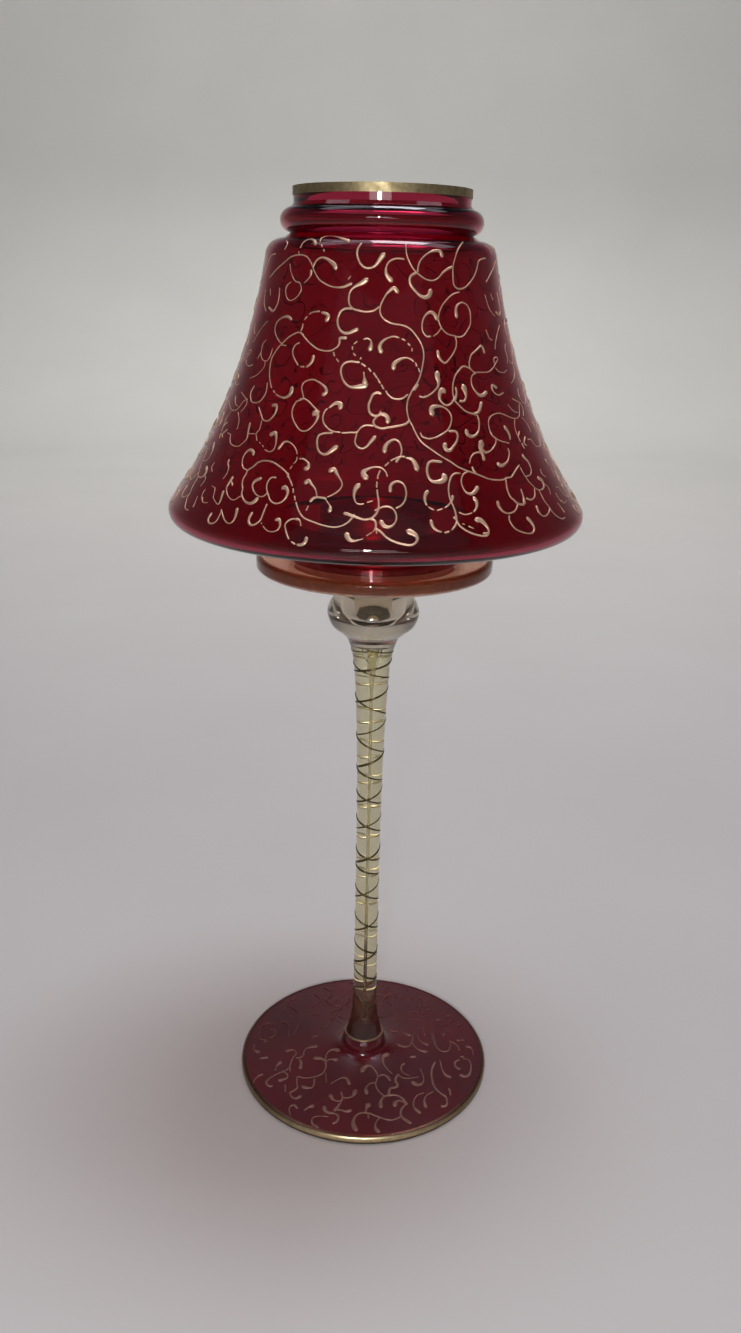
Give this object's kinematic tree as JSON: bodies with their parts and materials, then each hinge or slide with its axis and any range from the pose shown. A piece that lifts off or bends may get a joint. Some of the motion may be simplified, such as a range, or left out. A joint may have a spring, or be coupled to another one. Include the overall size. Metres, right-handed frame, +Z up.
{
  "type": "tea light holder",
  "caption": "Tall stemmed glass tea light holder with a lift-off ruby bell shade, gold scrolls and lines, a clear dish and a round ruby foot.",
  "frame": {"origin": "centre of the foot's underside, on the surface the holder stands on", "axes": "+Z up along the stem, towards the shade's mouth; the holder is turned about Z"},
  "size_m": [0.14, 0.14, 0.328],
  "materials": {
    "ruby_glass": "polished",
    "ruby_satin_glass": "satin",
    "clear_glass": "polished",
    "amber_glass": "polished",
    "gold_enamel": "satin",
    "cup_aluminium": "brushed",
    "candle_wax": "satin",
    "wick_cotton": "matte",
    "tab_tin": "satin"
  },
  "bodies": {
    "holder": {"foot": "ruby_satin_glass", "foot_gold_edge": "gold_enamel", "foot_gold_scrolls": "gold_enamel", "stem": "clear_glass", "stem_gold_line_right": "gold_enamel", "stem_gold_line_left": "gold_enamel", "stem_gold_ring": "gold_enamel", "knop": "clear_glass", "dish": "clear_glass", "dish_amber_rim": "amber_glass"},
    "shade": {"shade_glass": "ruby_glass", "shade_gold_band": "gold_enamel", "shade_gold_scrolls": "gold_enamel"},
    "tealight": {"tealight_cup": "cup_aluminium"},
    "candle": {"wax": "candle_wax", "wick": "wick_cotton", "wick_tab": "tab_tin"}
  },
  "joints": [
    {"name": "shade_lift", "type": "slide", "parent": "holder", "child": "shade", "axis": [0, 0, 1], "range_m": [0, 0.15]},
    {"name": "tealight_lift", "type": "slide", "parent": "holder", "child": "tealight", "axis": [0, 0, 1], "range_m": [0, 0.14]},
    {"name": "candle_lift", "type": "slide", "parent": "tealight", "child": "candle", "axis": [0, 0, 1], "range_m": [0, 0.03]}
  ]
}
